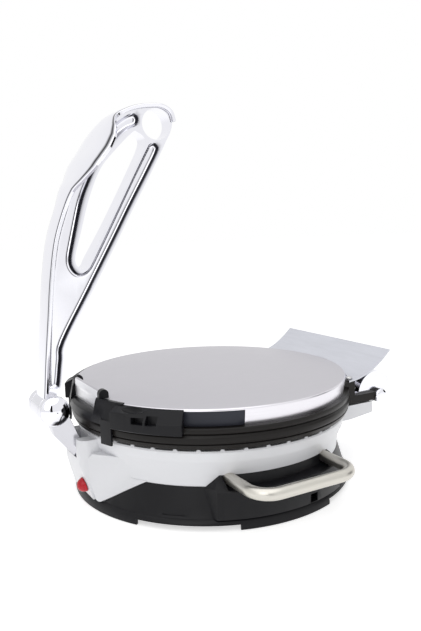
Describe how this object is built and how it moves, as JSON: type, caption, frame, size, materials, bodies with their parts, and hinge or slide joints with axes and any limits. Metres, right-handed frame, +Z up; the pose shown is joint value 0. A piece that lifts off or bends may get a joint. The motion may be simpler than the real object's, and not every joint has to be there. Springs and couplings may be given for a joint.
{
  "type": "electric roti maker",
  "caption": "Round electric roti maker with hinged hot plates, a folding press lever at the front, a side carrying handle and a rear guard.",
  "frame": {"origin": "on the axis of the round base, in the plane of the table", "axes": "+Z up; -X is the front with the press lever and the lamp, +X the hinge side; -Y is the side with the carrying handle"},
  "size_m": [0.3613, 0.3154, 0.3722],
  "materials": {
    "black_base": "fine moulded grain",
    "black_rubber": "matte",
    "zinc_screws": "zinc plated",
    "brushed_tube": "brushed along the tube",
    "white_body": "smooth, slightly glossy",
    "red_lens": "clear red jewel",
    "grey_holder": "plain",
    "chrome_arm": "polished",
    "black_ring": "satin, heat resistant",
    "coated_plate": "dark non-stick coating",
    "element_tube": "heat tinted",
    "reflector_sheet": "bright rolled",
    "pale_ceramic": "unglazed",
    "fuse_metal": "plain",
    "black_fork": "satin",
    "satin_cover": "satin top, bright brushed skirt",
    "dark_panel": "satin",
    "bright_sheet": "bright",
    "bright_lever": "chrome plated casting"
  },
  "bodies": {
    "base": {"base_shell": "black_base", "base_floor": "black_base", "rubber_feet": "black_rubber", "floor_screws": "zinc_screws", "side_handle": "brushed_tube", "handle_screws": "zinc_screws", "body_bowl": "white_body", "lamp_lens": "red_lens", "lamp_holder": "grey_holder", "press_arm": "chrome_arm", "arm_bolts": "zinc_screws", "lower_ring": "black_ring", "lower_plate": "coated_plate", "lower_element": "element_tube", "lower_clamps": "zinc_screws", "lower_reflector": "reflector_sheet", "reflector_posts": "zinc_screws", "thermostat": "pale_ceramic", "thermal_fuse": "fuse_metal", "terminal_block": "pale_ceramic", "cord_gland": "black_fork", "hinge_pin": "chrome_arm"},
    "lid": {"lid_cover": "satin_cover", "lid_ring": "black_ring", "skirt_panels": "dark_panel", "front_fork": "black_fork", "grip_wing_near": "black_fork", "grip_wing_far": "black_fork", "upper_plate": "coated_plate", "upper_element": "element_tube", "upper_clamps": "zinc_screws", "upper_reflector": "reflector_sheet", "lid_posts": "zinc_screws", "hinge_arm_near": "black_fork", "hinge_arm_far": "black_fork", "arm_screws": "zinc_screws", "hinge_cover": "bright_sheet", "rear_guard": "bright_sheet", "guard_studs": "zinc_screws"},
    "lever": {"press_lever": "bright_lever", "lever_pin": "chrome_arm", "hub_caps": "chrome_arm"}
  },
  "joints": [
    {"name": "lid_hinge", "type": "hinge", "parent": "base", "child": "lid", "pos_m": [0.157, 0, 0.076], "axis": [0, 1, 0], "range_deg": [0, 100]},
    {"name": "lever_pivot", "type": "hinge", "parent": "base", "child": "lever", "pos_m": [-0.1704, 0, 0.0977], "axis": [0, 1, 0], "range_deg": [-20, 44]}
  ]
}
